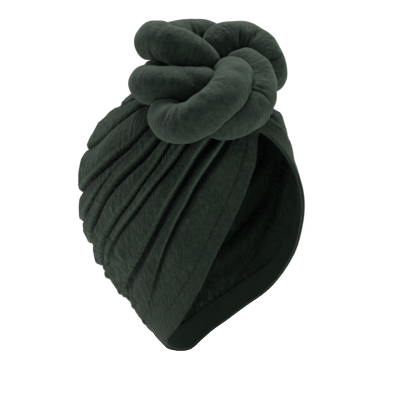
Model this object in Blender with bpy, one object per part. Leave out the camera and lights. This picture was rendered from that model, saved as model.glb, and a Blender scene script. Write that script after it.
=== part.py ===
"""Turban cap: a pleated jersey cap with a turned hem and a padded knot on the top front.

Metres, +Z up as worn upright, face towards -Y, the wearer's left towards +X. The origin is
the seat, where the top of a head bears inside the crown.
"""

from collections import namedtuple

import bmesh
import bpy
import numpy as np

# Cap, measured from the middle of the head form that it fits
HALF_WIDTH = 0.0775
FRONT_REACH = 0.1005
BACK_REACH = 0.097
CROWN_RISE = 0.087
NAPE_REACH = 0.173
CLOTH = 0.0016
PUFF = 0.0090
PUFF_RISE = 0.075
FOLD_DEPTH = 0.0080
FOLD_WIDTH = 0.0085

# Turned hem along the face edge
HEM_WIDTH = 0.019
HEM_CLOTH = 0.0013
HEM_FADE = 0.012
CLEARANCE = 0.0003

# Where the folds start to fan out, under the back of the knot
GATHER_TILT = 14.7

# Padded knot
STRAND_DIAMETER = 0.032
STRAND_SQUEEZE = 0.76
STRAND_GAP = 0.0014
SEAT_GAP = 0.0008
KNOT_RADIUS = 0.048
KNOT_SIDE = -0.012
KNOT_FORWARD = 0.070
KNOT_RISE = 0.084
KNOT_TURN = 20.0
KNOT_TILT = 45.2

# Mesh steps: columns around the cap, shares of the way across a fold and across the hem,
# rings and sides of a strand, points for each row of a strand's table, edges shown as sharp
COLUMNS = 48
FOLD_STEPS = (0.2, 0.5, 0.8, 1.0)
HEM_STEPS = (0.0, 0.33, 0.67, 1.0)
RING_STEP = 0.0090
RING_SIDES = 12
LINE_POINTS = 40
RING_POINTS = 8
SHARP_ANGLE = 50.0

# How the strands settle against each other: rounds, the share of an overlap that one round
# pushes apart, the pull back to the table's line, the easing of the line, how many diameters
# along a strand count as its own neighbourhood, how far its ends narrow, and the search for
# the face that two strands press on
SETTLE_ROUNDS = 60
SETTLE_PUSH = 0.5
SETTLE_PULL = 0.2
LINE_EASE = 0.25
OWN_RUN = 1.6
END_ROUNDING = 0.93
PRESS_ROUNDS = 14
LEAST_PRESS = 0.05

# Rim: turn about the gather from the forehead (0) to the nape (180), and the rim's angle from
# the gather seen from the middle of the head, both in degrees
Rim = namedtuple("Rim", "turn angle")
RIM = (
    Rim(0, 59.5),
    Rim(14, 76),
    Rim(26, 93),
    Rim(42, 116),
    Rim(52, 130),
    Rim(68, 144),
    Rim(85, 152),
    Rim(121, 161.5),
    Rim(180, 168),
)

# Valleys between the folds, from the crown to the rim. Each place is a share of the way from
# the gather to the rim, and each depth a share of FOLD_DEPTH, at the turns in STATIONS.
STATIONS = (0, 45, 90, 135, 180)
Valley = namedtuple("Valley", "places depths")
VALLEYS = (
    Valley((0.14, 0.09, 0.09, 0.16, 0.22), (0.1, 0.2, 0.5, 0.5, 0.4)),
    Valley((0.22, 0.15, 0.18, 0.34, 0.39), (0.1, 0.4, 0.7, 0.5, 0.4)),
    Valley((0.30, 0.22, 0.345, 0.485, 0.52), (0.1, 0.5, 0.8, 0.6, 0.4)),
    Valley((0.36, 0.28, 0.40, 0.575, 0.61), (0.0, 0.0, 0.1, 0.8, 0.6)),
    Valley((0.42, 0.33, 0.455, 0.65, 0.69), (0.1, 0.8, 1.0, 0.6, 0.5)),
    Valley((0.49, 0.385, 0.57, 0.73, 0.77), (0.2, 0.8, 1.0, 0.9, 0.7)),
    Valley((0.56, 0.47, 0.625, 0.79, 0.83), (0.2, 0.9, 0.2, 0.0, 0.0)),
    Valley((0.65, 0.575, 0.785, 0.86, 0.88), (0.2, 1.2, 1.1, 1.0, 0.5)),
    Valley((0.72, 0.665, 0.90, 0.93, 0.94), (0.2, 0.9, 0.1, 0.6, 0.3)),
)

# Strands that are fuller than the others, as shares of STRAND_DIAMETER
GIRTHS = {"knot_left_strand": 1.2}

# Knot strands. Each row is a point of the strand's middle line: turn about the knot's axis in
# degrees, reach from it as a share of KNOT_RADIUS, lift along it as a share of STRAND_DIAMETER.
Pass = namedtuple("Pass", "turn reach lift")
STRANDS = {
    "knot_front_strand": (
        Pass(-12, 0.45, -0.15),
        Pass(-46, 0.45, 0.16),
        Pass(-73, 0.58, 0.40),
        Pass(-90, 0.80, 0.54),
        Pass(-102, 1.04, 0.57),
        Pass(-113, 1.26, 0.55),
        Pass(-122, 1.42, 0.40),
        Pass(-130, 1.52, 0.22),
        Pass(-139, 1.50, -0.03),
        Pass(-150, 1.35, -0.19),
        Pass(-158, 1.15, -0.24),
        Pass(-163, 0.95, -0.28),
    ),
    "knot_top_strand": (
        Pass(39, 0.26, -0.12),
        Pass(81, 0.13, 0.24),
        Pass(137, 0.28, 0.59),
        Pass(136, 0.54, 0.78),
        Pass(130, 0.88, 0.76),
        Pass(119, 1.07, 0.47),
        Pass(105, 1.10, 0.15),
        Pass(87, 1.09, 0.01),
        Pass(71, 1.14, -0.02),
        Pass(57, 1.24, -0.20),
        Pass(45, 1.36, -0.52),
        Pass(32, 1.50, -0.84),
        Pass(23, 1.52, -1.11),
    ),
    "knot_left_strand": (
        Pass(49, 0.61, -0.15),
        Pass(42, 0.76, 0.06),
        Pass(36, 0.90, 0.18),
        Pass(29, 1.02, 0.20),
        Pass(21, 1.09, 0.17),
        Pass(10, 1.12, 0.07),
        Pass(2, 1.16, -0.08),
        Pass(-6, 1.18, -0.26),
        Pass(-11, 1.17, -0.48),
        Pass(-11, 1.13, -0.82),
    ),
    "knot_lower_strand": (
        Pass(15, 0.71, -0.06),
        Pass(-5, 0.69, 0.07),
        Pass(-21, 0.75, 0.10),
        Pass(-35, 0.85, 0.02),
        Pass(-47, 0.93, -0.10),
        Pass(-63, 1.02, -0.12),
        Pass(-76, 1.09, -0.13),
        Pass(-88, 1.15, -0.11),
        Pass(-101, 1.19, -0.13),
        Pass(-112, 1.20, -0.12),
        Pass(-123, 1.13, -0.15),
    ),
    "knot_right_strand": (
        Pass(-81, 0.29, 0.03),
        Pass(-114, 0.36, 0.10),
        Pass(-140, 0.56, 0.21),
        Pass(-159, 0.80, 0.27),
        Pass(-171, 0.99, 0.28),
        Pass(-184, 1.09, 0.17),
        Pass(-197, 1.04, -0.05),
        Pass(-208, 0.92, -0.31),
        Pass(-221, 0.78, -0.32),
        Pass(-246, 0.65, -0.30),
        Pass(-280, 0.69, -0.41),
        Pass(-305, 0.85, -0.59),
        Pass(-320, 1.07, -0.85),
    ),
}

Fabric = namedtuple("Fabric", "colour roughness sheen")
TEXTURED_JERSEY = Fabric((0.022, 0.036, 0.026), 0.85, 0.3)
HEM_JERSEY = Fabric((0.020, 0.034, 0.024), 0.85, 0.3)
BRUSHED_JERSEY = Fabric((0.030, 0.048, 0.036), 0.80, 0.5)

HEAD_MIDDLE = np.array([0.0, 0.0, CLOTH - CROWN_RISE])


def smooth_step(value):
    held = np.clip(value, 0.0, 1.0)
    return held * held * (3.0 - 2.0 * held)


def through(knots, values, where):
    """A smooth curve through values at knots, level at both ends, read at where."""
    knots = np.asarray(knots, float)
    values = np.asarray(values, float)
    slopes = np.zeros_like(values)
    slopes[1:-1] = (values[2:] - values[:-2]) / (knots[2:] - knots[:-2])
    where = np.asarray(where, float)
    spot = np.clip(np.searchsorted(knots, where, side="right") - 1, 0, len(knots) - 2)
    step = knots[spot + 1] - knots[spot]
    share = np.clip((where - knots[spot]) / step, 0.0, 1.0)
    bend_in = share * (1.0 - share) ** 2 * step
    bend_out = share**2 * (share - 1.0) * step
    mix = smooth_step(share)
    run = values[spot] * (1.0 - mix) + values[spot + 1] * mix
    return run + slopes[spot] * bend_in + slopes[spot + 1] * bend_out


def unit(vectors):
    return vectors / np.linalg.norm(vectors, axis=-1, keepdims=True)


def gather_frame():
    """Unit vectors from the middle of the head: to the gather, to the face and to the left."""
    tilt = np.radians(GATHER_TILT)
    gather = np.array([0.0, -np.sin(tilt), np.cos(tilt)])
    face = np.array([0.0, -np.cos(tilt), -np.sin(tilt)])
    return gather, face, np.array([1.0, 0.0, 0.0])


def rim_angle(turn):
    table = np.array(RIM, float)
    return through(table[:, 0], table[:, 1], turn)


def direction(turn, share):
    """Unit vector for a turn about the gather (degrees, signed to the left) and a share."""
    gather, face, left = gather_frame()
    angle = np.radians(rim_angle(np.abs(turn)) * share)[..., None]
    around = np.radians(turn)[..., None]
    away = face * np.cos(around) + left * np.sin(around)
    return gather * np.cos(angle) + away * np.sin(angle)


def turn_and_share(ray):
    """The turn and share of a unit vector: the inverse of direction."""
    gather, face, left = gather_frame()
    turn = np.degrees(np.arctan2(ray @ left, ray @ face))
    angle = np.degrees(np.arccos(np.clip(ray @ gather, -1.0, 1.0)))
    return turn, angle / rim_angle(np.abs(turn))


def base_radius(ray):
    """Distance from the middle of the head to the smooth cap surface along a unit vector."""
    along = np.where(ray[..., 1] > 0.0, BACK_REACH, FRONT_REACH)
    upright = np.where(ray[..., 2] > 0.0, CROWN_RISE, NAPE_REACH)
    sides = (ray[..., 0] / HALF_WIDTH) ** 2 + (ray[..., 1] / along) ** 2
    return 1.0 / np.sqrt(sides + (ray[..., 2] / upright) ** 2)


def run_to_rim(turn, share):
    """The way from the gather to the rim, and how much of it is left."""
    run = np.radians(rim_angle(turn)) * base_radius(direction(turn, share))
    return run, (1.0 - share) * run


def crest(turn, share):
    """Height of the folds' tops above the smooth cap surface."""
    _, to_rim = run_to_rim(np.abs(turn), share)
    return PUFF * smooth_step((to_rim - HEM_WIDTH) / PUFF_RISE)


def relief(turn, share):
    """Height of the gathered cloth above the smooth cap surface."""
    turn = np.abs(turn)
    run, to_rim = run_to_rim(turn, share)
    free = smooth_step((to_rim - HEM_WIDTH) / HEM_FADE)
    height = crest(turn, share)
    for valley in VALLEYS:
        place = through(STATIONS, valley.places, turn)
        depth = through(STATIONS, valley.depths, turn) * FOLD_DEPTH * free
        near = np.clip(1.0 - np.abs(share - place) * run / FOLD_WIDTH, 0.0, 1.0)
        height = height - depth * (1.0 - np.sqrt(1.0 - near**2))
    return height


def cap_surface(turn, share):
    """Points on the outside of the cap."""
    ray = direction(turn, share)
    radius = base_radius(ray) + relief(turn, share)
    return HEAD_MIDDLE + ray * radius[..., None]


def hem_share(turn):
    """The share at which the hem's stitch line runs, one hem width above the rim."""
    run = np.radians(rim_angle(np.abs(turn))) * base_radius(direction(turn, np.ones_like(turn)))
    return 1.0 - HEM_WIDTH / run


def cap_rows(turn):
    """Shares from the gather to the rim, with a row along each valley and on each fold."""
    bounds = [np.zeros_like(turn)]
    bounds += [through(STATIONS, valley.places, np.abs(turn)) for valley in VALLEYS]
    bounds.append(np.ones_like(turn))
    rows = []
    for low, high in zip(bounds[:-1], bounds[1:]):
        rows += [low + (high - low) * step for step in FOLD_STEPS]
    return np.stack(rows)


def around_cap():
    return np.arange(COLUMNS) * 360.0 / COLUMNS - 180.0


def add_object(name, mesh, material):
    mesh.materials.append(material)
    mesh.shade_smooth()
    mesh.set_sharp_from_angle(angle=np.radians(SHARP_ANGLE))
    item = bpy.data.objects.new(name, mesh)
    bpy.context.scene.collection.objects.link(item)
    return item


def fabric_material(name, fabric):
    material = bpy.data.materials.new(name)
    material.use_nodes = True
    shader = material.node_tree.nodes["Principled BSDF"]
    shader.inputs["Base Color"].default_value = (*fabric.colour, 1.0)
    shader.inputs["Roughness"].default_value = fabric.roughness
    shader.inputs["Metallic"].default_value = 0.0
    shader.inputs["Sheen Weight"].default_value = fabric.sheen
    return material


def grid_faces(rows, columns, first=0):
    """Quads between neighbouring rows of a grid that closes on itself around the columns."""
    faces = []
    for row in range(rows - 1):
        for column in range(columns):
            after = (column + 1) % columns
            low = first + row * columns
            high = low + columns
            faces.append((low + column, high + column, high + after, low + after))
    return faces


def vertex_normals(points, faces):
    """Unit normals of an open surface, one for each point, from its faces."""
    mesh = bpy.data.meshes.new("measure")
    mesh.from_pydata([tuple(point) for point in points], [], faces)
    normals = np.empty(len(points) * 3, np.float32)
    mesh.vertex_normals.foreach_get("vector", normals)
    bpy.data.meshes.remove(mesh)
    return normals.reshape(-1, 3).astype(float)


def closed_mesh(name, points, faces):
    mesh = bpy.data.meshes.new(name)
    mesh.from_pydata([tuple(point) for point in points], [], faces)
    work = bmesh.new()
    work.from_mesh(mesh)
    bmesh.ops.recalc_face_normals(work, faces=work.faces)
    bmesh.ops.triangulate(work, faces=work.faces)
    work.to_mesh(mesh)
    work.free()
    return mesh


def outer_cap():
    """Points and faces of the cap's outside: the gather point, then a row for each share."""
    turn = around_cap()
    shares = cap_rows(turn)
    rows = [cap_surface(turn, share) for share in shares]
    gather = cap_surface(np.zeros(1), np.zeros(1))
    points = np.concatenate([gather, *rows])
    faces = [(0, 1 + column, 1 + (column + 1) % COLUMNS) for column in range(COLUMNS)]
    faces += grid_faces(len(rows), COLUMNS, first=1)
    return points, faces


def sheet_between(name, outside, inside, faces, edges):
    """Closes two surfaces with the same faces into one wall, along loops of their points."""
    count = len(outside)
    walls = list(faces)
    walls += [tuple(count + corner for corner in reversed(face)) for face in faces]
    for edge in edges:
        following = np.roll(edge, -1)
        for here, after in zip(edge, following):
            walls.append((int(here), int(after), count + int(after), count + int(here)))
    return closed_mesh(name, np.concatenate([outside, inside]), walls)


def make_cap_body(material):
    points, faces = outer_cap()
    normals = vertex_normals(points, faces)
    if (normals[0] @ (points[0] - HEAD_MIDDLE)) < 0.0:
        normals = -normals
    rim = np.arange(len(points) - COLUMNS, len(points))
    mesh = sheet_between("cap_body", points, points - normals * CLOTH, faces, [rim])
    return add_object("cap_body", mesh, material)


def make_rim_hem(material):
    """The edge of the cloth turned to the inside, along the whole rim."""
    turn = around_cap()
    stitch = hem_share(turn)
    rows = []
    for step in HEM_STEPS:
        rows.append(cap_surface(turn, stitch + (1.0 - stitch) * step))
    points = np.concatenate(rows)
    faces = grid_faces(len(rows), COLUMNS)
    normals = vertex_normals(points, faces)
    if (normals[0] @ (points[0] - HEAD_MIDDLE)) < 0.0:
        normals = -normals
    outside = points - normals * (CLOTH + CLEARANCE)
    inside = outside - normals * HEM_CLOTH
    first = np.arange(COLUMNS)
    last = first + len(points) - COLUMNS
    mesh = sheet_between("rim_hem", outside, inside, faces, [first, last])
    return add_object("rim_hem", mesh, material)


def knot_frame():
    """The knot's middle, and its unit vectors to the left, to the back and outwards."""
    tilt = np.radians(KNOT_TILT)
    turn = np.radians(KNOT_TURN)
    level = np.array([-np.sin(turn), -np.cos(turn), 0.0])
    outwards = level * np.cos(tilt) + np.array([0.0, 0.0, np.sin(tilt)])
    left = np.array([np.cos(turn), -np.sin(turn), 0.0])
    middle = HEAD_MIDDLE + np.array([KNOT_SIDE, -KNOT_FORWARD, KNOT_RISE])
    return middle, left, np.cross(outwards, left), outwards


def middle_line(passes):
    """A smooth line through a strand's points, with even steps along it."""
    middle, left, back, outwards = knot_frame()
    corners = []
    for place in passes:
        turn = np.radians(place.turn)
        reach = place.reach * KNOT_RADIUS
        flat = (left * np.cos(turn) + back * np.sin(turn)) * reach
        corners.append(middle + flat + outwards * place.lift * STRAND_DIAMETER)
    corners = np.array(corners)
    knots = np.arange(len(corners))
    fine = np.linspace(0.0, len(corners) - 1.0, LINE_POINTS * len(corners))
    curve = np.stack([through(knots, corners[:, axis], fine) for axis in range(3)], axis=1)
    return even_steps(curve, RING_STEP)


def even_steps(curve, step):
    run = np.concatenate([[0.0], np.cumsum(np.linalg.norm(np.diff(curve, axis=0), axis=1))])
    marks = np.linspace(0.0, run[-1], max(int(round(run[-1] / step)), 3) + 1)
    return np.stack([np.interp(marks, run, curve[:, axis]) for axis in range(3)], axis=1)


def cap_outside(points):
    """For points anywhere: the ray from the middle of the head, and the folds' tops there."""
    away = points - HEAD_MIDDLE
    distance = np.linalg.norm(away, axis=-1)
    ray = away / distance[..., None]
    turn, share = turn_and_share(ray)
    share = np.clip(share, 0.0, 1.0)
    return ray, distance, base_radius(ray) + crest(turn, share)


def settle(lines, girths):
    """Pushes strands apart until they only press on each other, and off the cap."""
    owner = np.concatenate([np.full(len(line), index) for index, line in enumerate(lines)])
    order = np.concatenate([np.arange(len(line)) for line in lines])
    points = np.concatenate(lines)
    start = points.copy()
    radii = np.concatenate([strand_radius(*pair) for pair in zip(lines, girths)])
    apart = STRAND_SQUEEZE * (radii[:, None] + radii[None])
    far_along = np.abs(order[:, None] - order[None]) * RING_STEP > OWN_RUN * STRAND_DIAMETER
    other = (owner[:, None] != owner[None]) | far_along
    for _ in range(SETTLE_ROUNDS):
        gaps = points[:, None] - points[None]
        distance = np.linalg.norm(gaps, axis=-1) + 1e-9
        short = np.where(other, np.clip(apart - distance, 0.0, None), 0.0)
        push = (gaps / distance[..., None] * short[..., None]).sum(axis=1)
        count = np.maximum((short > 0.0).sum(axis=1), 1)[:, None]
        points = points + SETTLE_PUSH * push / count + SETTLE_PULL * (start - points)
        ray, from_middle, radius = cap_outside(points)
        seat = radius + radii * STRAND_SQUEEZE
        points = points + ray * np.clip(seat - from_middle, 0.0, None)[:, None]
        points = smooth_lines(points, owner)
    return [points[owner == index] for index in range(len(lines))]


def smooth_lines(points, owner):
    """Evens out each strand's line a little, with its ends held."""
    eased = points.copy()
    inner = (owner[1:-1] == owner[:-2]) & (owner[1:-1] == owner[2:])
    between = 0.5 * (points[:-2] + points[2:])
    eased[1:-1][inner] += LINE_EASE * (between - points[1:-1])[inner]
    return eased


def ring_axes(line):
    """Two unit vectors across the line at each of its points, carried along without twist."""
    along = unit(np.gradient(line, axis=0))
    across = np.cross(along[0], [0.0, 0.0, 1.0])
    sides = []
    for heading in along:
        across = unit(across - heading * (across @ heading))
        sides.append(across)
    sides = np.array(sides)
    return sides, np.cross(along, sides)


def strand_radius(line, girth):
    """Full along the strand, rounded off at both ends like a stuffed tube."""
    run = np.concatenate([[0.0], np.cumsum(np.linalg.norm(np.diff(line, axis=0), axis=1))])
    to_end = np.minimum(run, run[-1] - run)
    full = 0.5 * STRAND_DIAMETER * girth
    short = np.clip(1.0 - to_end / full, 0.0, END_ROUNDING)
    return full * np.sqrt(1.0 - short**2)


def dense_line(line, radius):
    """More points along a strand's middle line, each with the strand's radius there."""
    marks = np.arange(len(line))
    fine = np.linspace(0.0, len(line) - 1.0, RING_POINTS * len(line))
    columns = [np.interp(fine, marks, line[:, axis]) for axis in range(3)]
    return np.stack(columns, axis=1), np.interp(fine, marks, radius)


def closeness(points, strand):
    """Distance to a strand's middle line as a share of the strand's radius there."""
    line, radius = strand
    distance = np.linalg.norm(points[:, None] - line[None], axis=-1)
    nearest = distance.argmin(axis=1)
    rows = np.arange(len(points))
    return (distance[rows, nearest] - 0.5 * STRAND_GAP) / radius[nearest], radius[nearest]


def press(points, centre, own, others):
    """Flattens a tube's points against the tubes beside it and against the cap."""
    reach = points - centre
    for other in others:
        low = np.zeros(len(points))
        high = np.ones(len(points))
        for _ in range(PRESS_ROUNDS):
            tested = centre + reach * high[:, None]
            near_own, radius = closeness(tested, own)
            near_own = near_own + STRAND_GAP / radius
            clear = near_own <= closeness(tested, other)[0]
            step = 0.5 * (high - low)
            low = np.where(clear, high, low)
            high = np.where(clear, np.minimum(high + step, 1.0), high - step)
        reach = reach * np.maximum(low, LEAST_PRESS)[:, None]
    points = centre + reach
    ray, distance, radius = cap_outside(points)
    return points + ray * np.clip(radius + SEAT_GAP - distance, 0.0, None)[:, None]


def make_strands(material):
    names = list(STRANDS)
    girths = [GIRTHS.get(name, 1.0) for name in names]
    lines = settle([middle_line(STRANDS[name]) for name in names], girths)
    radii = [strand_radius(*pair) for pair in zip(lines, girths)]
    dense = [dense_line(line, radius) for line, radius in zip(lines, radii)]
    angles = np.arange(RING_SIDES) * 2.0 * np.pi / RING_SIDES
    made = []
    for index, name in enumerate(names):
        line = lines[index]
        side, up = ring_axes(line)
        ring = side[:, None] * np.cos(angles)[None, :, None]
        ring = ring + up[:, None] * np.sin(angles)[None, :, None]
        points = (line[:, None] + ring * radii[index][:, None, None]).reshape(-1, 3)
        centre = np.repeat(line, RING_SIDES, axis=0)
        others = [dense[n] for n in range(len(names)) if n != index]
        points = press(points, centre, dense[index], others)
        faces = grid_faces(len(line), RING_SIDES)
        faces.append(tuple(range(RING_SIDES)))
        last = len(points) - RING_SIDES
        faces.append(tuple(last + corner for corner in reversed(range(RING_SIDES))))
        made.append(add_object(name, closed_mesh(name, points, faces), material))
    return made


def main():
    for item in list(bpy.data.objects):
        bpy.data.objects.remove(item, do_unlink=True)
    make_cap_body(fabric_material("textured_jersey", TEXTURED_JERSEY))
    make_rim_hem(fabric_material("hem_jersey", HEM_JERSEY))
    make_strands(fabric_material("brushed_jersey", BRUSHED_JERSEY))


main()
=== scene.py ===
"""Looks of the turban cap: gathered textured jersey, turned hem with stitches, padded knot."""

from collections import namedtuple

import bmesh
import bpy
import numpy as np
from mathutils import Matrix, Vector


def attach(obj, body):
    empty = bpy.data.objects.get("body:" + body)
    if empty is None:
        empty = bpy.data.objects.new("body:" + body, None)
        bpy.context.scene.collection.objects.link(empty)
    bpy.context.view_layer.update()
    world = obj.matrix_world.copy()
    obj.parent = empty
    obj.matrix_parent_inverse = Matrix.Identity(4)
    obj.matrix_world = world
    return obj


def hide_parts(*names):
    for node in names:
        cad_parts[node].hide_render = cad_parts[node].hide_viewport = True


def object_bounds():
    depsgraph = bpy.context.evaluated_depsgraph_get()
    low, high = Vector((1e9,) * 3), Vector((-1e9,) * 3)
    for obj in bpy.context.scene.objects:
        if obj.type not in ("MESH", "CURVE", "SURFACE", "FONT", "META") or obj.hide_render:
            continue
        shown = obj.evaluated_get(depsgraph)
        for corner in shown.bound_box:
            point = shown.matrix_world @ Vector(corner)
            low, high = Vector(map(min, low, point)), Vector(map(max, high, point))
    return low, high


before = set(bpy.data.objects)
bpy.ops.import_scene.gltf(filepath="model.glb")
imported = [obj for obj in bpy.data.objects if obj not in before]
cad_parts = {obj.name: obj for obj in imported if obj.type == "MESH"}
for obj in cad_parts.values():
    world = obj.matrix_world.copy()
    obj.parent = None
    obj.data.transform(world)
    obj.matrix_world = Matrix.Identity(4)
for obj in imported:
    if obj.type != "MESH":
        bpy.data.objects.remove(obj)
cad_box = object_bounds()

# Cap, measured from the middle of the head form that it fits
HALF_WIDTH = 0.0775
FRONT_REACH = 0.1005
BACK_REACH = 0.097
CROWN_RISE = 0.087
NAPE_REACH = 0.173
CLOTH = 0.0016
PUFF = 0.0090
PUFF_RISE = 0.075
FOLD_DEPTH = 0.0080

# Rounding of the fold on the crown side of a valley, and how far the valleys may sink into
# the smooth cap surface
OVER_WIDTH = 0.0042
LOWEST_FOLD = -0.0006

# Turned hem along the face edge. HEM_RUN is where it starts and ends, as shares of the way from
# the stitch line to the rim.
HEM_WIDTH = 0.019
HEM_CLOTH = 0.0013
HEM_FADE = 0.012
HEM_RUN = (-0.06, 0.99)
CLEARANCE = 0.0003

# Where the folds start to fan out, under the back of the knot
GATHER_TILT = 14.7

# Padded knot
STRAND_DIAMETER = 0.032
STRAND_SQUEEZE = 0.76
STRAND_GAP = 0.0006
SEAT_GAP = 0.0006
KNOT_RADIUS = 0.048
KNOT_SIDE = -0.012
KNOT_FORWARD = 0.070
KNOT_RISE = 0.084
KNOT_TURN = 20.0
KNOT_TILT = 45.2

# Mesh steps. The first row lies at GATHER_SHARE of the way from the gather to the rim.
COLUMNS = 340
GATHER_SHARE = 0.004
BAND_ROWS = 12
FLOOR_ROWS = 3
RIM_ROWS = 16
LEAST_FLOOR = 0.0004
SETTLE_STEP = 0.0090
RING_STEP = 0.0011
RING_SIDES = 64
LINE_POINTS = 40
RING_POINTS = 2
SHARP_ANGLE = 60.0

# How the strands settle against each other
SETTLE_ROUNDS = 60
SETTLE_PUSH = 0.5
SETTLE_PULL = 0.2
LINE_EASE = 0.25
OWN_RUN = 1.6
END_ROUNDING = 0.985
PRESS_ROUNDS = 13
LEAST_PRESS = 0.05

# Camera: the photograph's view of the middle of the head form
CAMERA_AZIMUTH = 46.8
CAMERA_ELEVATION = -0.7
CAMERA_ROLL = 19.5
CAMERA_DISTANCE = 1.6
PIXELS_PER_METRE = 1183.0
PHOTO_SIZE = 416
HEAD_MIDDLE_PIXEL = (190.7, 191.4)
SENSOR_WIDTH = 36.0

# Rim: turn about the gather from the forehead (0) to the nape (180), and the rim's angle from
# the gather seen from the middle of the head, both in degrees
Rim = namedtuple("Rim", "turn angle")
RIM = (
    Rim(0, 59.5),
    Rim(14, 76),
    Rim(26, 93),
    Rim(42, 116),
    Rim(52, 130),
    Rim(68, 144),
    Rim(85, 152),
    Rim(121, 161.5),
    Rim(180, 168),
)

# Valleys between the folds, from the crown to the rim. Each place is a share of the way from
# the gather to the rim, and each depth a share of FOLD_DEPTH, at the turns in STATIONS. Floor is
# half the width of the valley's bottom, and under is the rounding of the fold on its rim side,
# both in metres.
STATIONS = (0, 45, 90, 135, 180)
Valley = namedtuple("Valley", "places depths floor under")
VALLEYS = (
    Valley((0.14, 0.09, 0.09, 0.16, 0.22), (0.1, 0.2, 0.6, 0.6, 0.4), 0.0004, 0.0130),
    Valley((0.22, 0.15, 0.18, 0.34, 0.39), (0.1, 0.4, 0.8, 0.6, 0.4), 0.0006, 0.0130),
    Valley((0.30, 0.22, 0.345, 0.485, 0.52), (0.1, 0.5, 0.9, 0.7, 0.4), 0.0008, 0.0130),
    Valley((0.36, 0.28, 0.40, 0.575, 0.61), (0.0, 0.0, 0.1, 0.8, 0.6), 0.0004, 0.0090),
    Valley((0.42, 0.33, 0.455, 0.65, 0.69), (0.1, 1.0, 1.1, 0.7, 0.5), 0.0021, 0.0080),
    Valley((0.49, 0.385, 0.57, 0.73, 0.77), (0.2, 0.9, 1.0, 0.9, 0.7), 0.0008, 0.0070),
    Valley((0.56, 0.47, 0.625, 0.79, 0.83), (0.2, 1.0, 0.6, 0.0, 0.0), 0.0009, 0.0070),
    Valley((0.65, 0.575, 0.785, 0.86, 0.88), (0.2, 1.2, 1.1, 1.0, 0.5), 0.0026, 0.0068),
    Valley((0.72, 0.665, 0.90, 0.93, 0.94), (0.2, 1.1, 0.3, 0.6, 0.3), 0.0017, 0.0070),
)

# Strands that are fuller than the others, as shares of STRAND_DIAMETER
GIRTHS = {"knot_left_strand": 1.2}

# Knot strands. Each row is a point of the strand's middle line: turn about the knot's axis in
# degrees, reach from it as a share of KNOT_RADIUS, lift along it as a share of STRAND_DIAMETER.
Pass = namedtuple("Pass", "turn reach lift")
STRANDS = {
    "knot_front_strand": (
        Pass(-12, 0.45, -0.15),
        Pass(-46, 0.45, 0.16),
        Pass(-73, 0.58, 0.40),
        Pass(-90, 0.80, 0.54),
        Pass(-102, 1.04, 0.57),
        Pass(-113, 1.26, 0.55),
        Pass(-122, 1.42, 0.40),
        Pass(-130, 1.52, 0.22),
        Pass(-139, 1.50, -0.03),
        Pass(-150, 1.35, -0.19),
        Pass(-158, 1.15, -0.24),
        Pass(-163, 0.95, -0.28),
    ),
    "knot_top_strand": (
        Pass(39, 0.26, -0.12),
        Pass(81, 0.13, 0.24),
        Pass(137, 0.28, 0.59),
        Pass(136, 0.54, 0.78),
        Pass(130, 0.88, 0.76),
        Pass(119, 1.07, 0.47),
        Pass(105, 1.10, 0.15),
        Pass(87, 1.09, 0.01),
        Pass(71, 1.14, -0.02),
        Pass(57, 1.24, -0.20),
        Pass(45, 1.36, -0.52),
        Pass(32, 1.50, -0.84),
        Pass(23, 1.52, -1.11),
    ),
    "knot_left_strand": (
        Pass(49, 0.61, -0.15),
        Pass(42, 0.76, 0.06),
        Pass(36, 0.90, 0.18),
        Pass(29, 1.02, 0.20),
        Pass(21, 1.09, 0.17),
        Pass(10, 1.12, 0.07),
        Pass(2, 1.16, -0.08),
        Pass(-6, 1.18, -0.26),
        Pass(-11, 1.17, -0.48),
        Pass(-11, 1.13, -0.82),
    ),
    "knot_lower_strand": (
        Pass(15, 0.71, -0.06),
        Pass(-5, 0.69, 0.07),
        Pass(-21, 0.75, 0.10),
        Pass(-35, 0.85, 0.02),
        Pass(-47, 0.93, -0.10),
        Pass(-63, 1.02, -0.12),
        Pass(-76, 1.09, -0.13),
        Pass(-88, 1.15, -0.11),
        Pass(-101, 1.19, -0.13),
        Pass(-112, 1.20, -0.12),
        Pass(-123, 1.13, -0.15),
    ),
    "knot_right_strand": (
        Pass(-81, 0.29, 0.03),
        Pass(-114, 0.36, 0.10),
        Pass(-140, 0.56, 0.21),
        Pass(-159, 0.80, 0.27),
        Pass(-171, 0.99, 0.28),
        Pass(-184, 1.09, 0.17),
        Pass(-197, 1.04, -0.05),
        Pass(-208, 0.92, -0.31),
        Pass(-221, 0.78, -0.32),
        Pass(-246, 0.65, -0.30),
        Pass(-280, 0.69, -0.41),
        Pass(-305, 0.85, -0.59),
        Pass(-320, 1.07, -0.85),
    ),
}

# Small wrinkles of the gathered cloth: height, and wave lengths along and across the folds
WRINKLE_HEIGHT = 0.00022
WRINKLE_WAVES = 60
WRINKLE_SEED = 11
WRINKLE_TURNS = (45, 110)
WRINKLE_ACROSS = (0.010, 0.050)
WRINKLE_START_TURN = 20.0
WRINKLE_SPREAD = 70.0
SWAY_HEIGHT = 0.0007
SWAY_WAVES = 18
SWAY_SEED = 12
SWAY_TURNS = (2, 12)
SWAY_ACROSS = (0.05, 0.14)

# Groove that the stitches pull into the cloth
STITCH_GROOVE = 0.0008
STITCH_GROOVE_WIDTH = 0.0014

# Lumps of the slack cloth low at the back: height, waves, and where they start
LUMP_HEIGHT = 0.0008
LUMP_WAVES = 50
LUMP_SEED = 13
LUMP_TURNS = (8, 38)
LUMP_ACROSS = (0.010, 0.040)
LUMP_START_TURN = 85.0
LUMP_FULL_TURN = 120.0
LUMP_START_SHARE = 0.50
LUMP_FULL_SHARE = 0.72

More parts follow.
